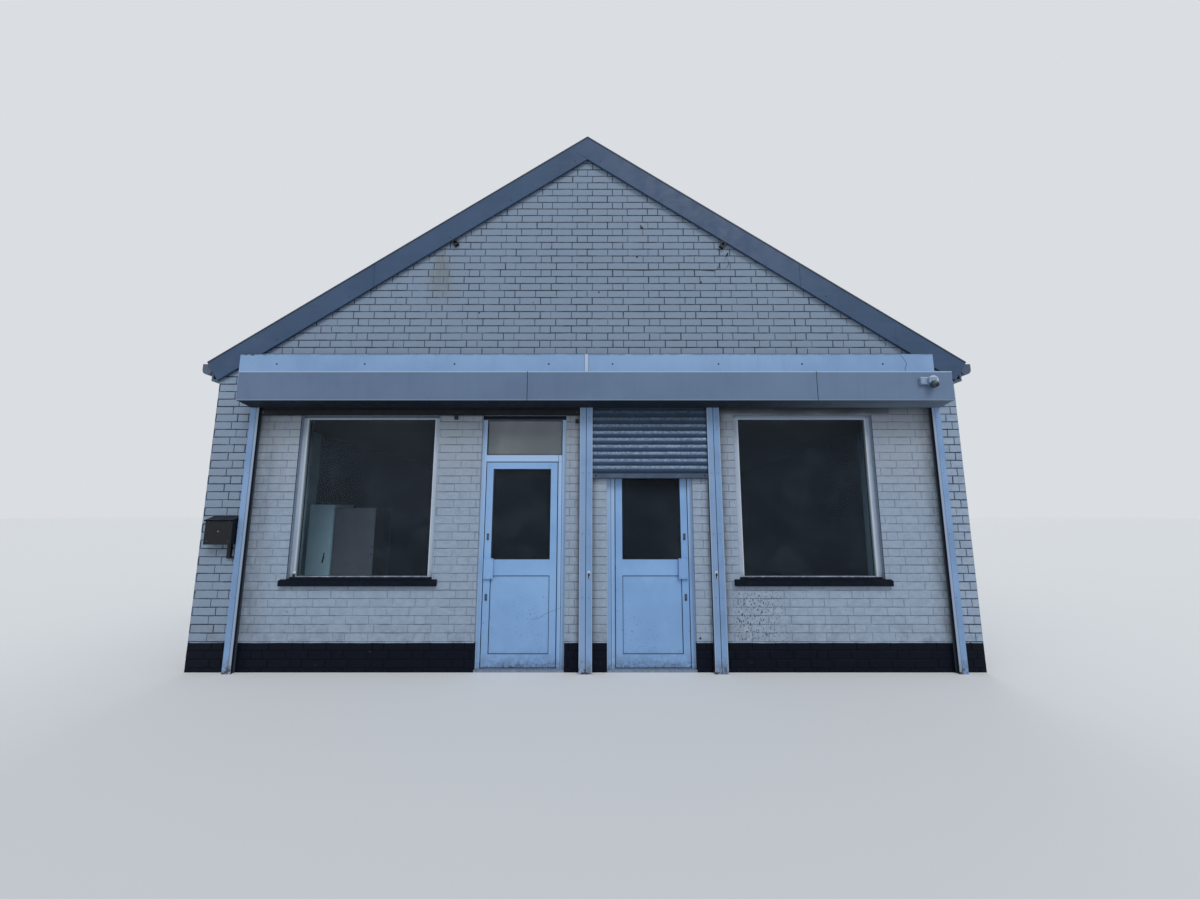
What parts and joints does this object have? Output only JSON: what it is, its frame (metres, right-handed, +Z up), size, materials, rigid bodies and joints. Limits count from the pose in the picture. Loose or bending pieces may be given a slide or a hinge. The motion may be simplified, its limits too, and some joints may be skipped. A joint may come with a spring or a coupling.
{
  "type": "single-storey shop building with a brick gable front",
  "caption": "Small detached brick shop building with a pitched roof, gable front, hinged doors, shop windows, sign box and roller shutters.",
  "frame": {"origin": "ground level in the middle of the walls' plan, on the underside of the floor slab", "axes": "+X to the viewer's right along the front, +Y from the front to the rear, +Z up"},
  "size_m": [8.6306, 9.4253, 6.17],
  "materials": {
    "painted_brick": "white masonry paint over brick, black plinth",
    "concrete": "trowelled concrete",
    "painted_step": "pale paint over concrete, scuffed",
    "ceiling_board": "matt emulsion",
    "roof_slate": "weathered slate",
    "grey_board": "satin grey paint",
    "grey_plastic": "weathered grey plastic",
    "white_board": "white paint, dulled",
    "sign_grey": "satin grey coated sheet",
    "guide_paint": "pale paint, scuffed",
    "galvanised_steel": "dull galvanised",
    "white_aluminium": "white powder coat",
    "glass": "clear glass",
    "sill_paint": "dark masonry paint",
    "black_metal": "black paint, worn",
    "white_plastic": "white moulding",
    "cabinet_board": "pale painted sheet"
  },
  "bodies": {
    "shop": {"floor_slab": "concrete", "front_wall_left": "painted_brick", "front_wall_centre": "painted_brick", "front_wall_right": "painted_brick", "front_lintel": "concrete", "front_gable": "painted_brick", "left_wall": "painted_brick", "right_wall": "painted_brick", "rear_wall": "painted_brick", "ceiling": "ceiling_board", "left_roof_slope": "roof_slate", "right_roof_slope": "roof_slate", "ridge_capping": "roof_slate", "front_left_barge": "grey_board", "front_right_barge": "grey_board", "rear_barges": "grey_board", "eaves_boards": "grey_board", "gutters": "grey_plastic", "downpipes": "grey_plastic", "name_board": "white_board", "sign_face": "sign_grey", "sign_casing": "sign_grey", "shutter_guides": "guide_paint", "shutter_end_plates": "galvanised_steel", "shutter_rolls": "galvanised_steel", "left_shutter": "galvanised_steel", "door_shutter": "galvanised_steel", "right_shutter": "galvanised_steel", "bullet_locks": "guide_paint", "left_window_frame": "white_aluminium", "right_window_frame": "white_aluminium", "window_glass": "glass", "window_sills": "sill_paint", "left_door_frame": "white_aluminium", "right_door_frame": "white_aluminium", "fanlight_glass": "glass", "thresholds": "painted_step", "wall_box": "black_metal", "security_camera": "white_plastic", "gable_fittings": "black_metal", "cabinets": "cabinet_board"},
    "left_door": {"left_door_leaf": "white_aluminium", "left_door_panel": "white_aluminium", "left_door_glass": "glass", "left_door_locks": "white_aluminium"},
    "right_door": {"right_door_leaf": "white_aluminium", "right_door_panel": "white_aluminium", "right_door_glass": "glass", "right_door_locks": "white_aluminium"}
  },
  "joints": [
    {"name": "left_door_hinge", "type": "hinge", "parent": "shop", "child": "left_door", "pos_m": [-0.3155, -4.391, 1.104], "axis": [0, 0, -1], "range_deg": [0, 90]},
    {"name": "right_door_hinge", "type": "hinge", "parent": "shop", "child": "right_door", "pos_m": [0.3155, -4.391, 1.104], "axis": [0, 0, 1], "range_deg": [0, 90]}
  ]
}
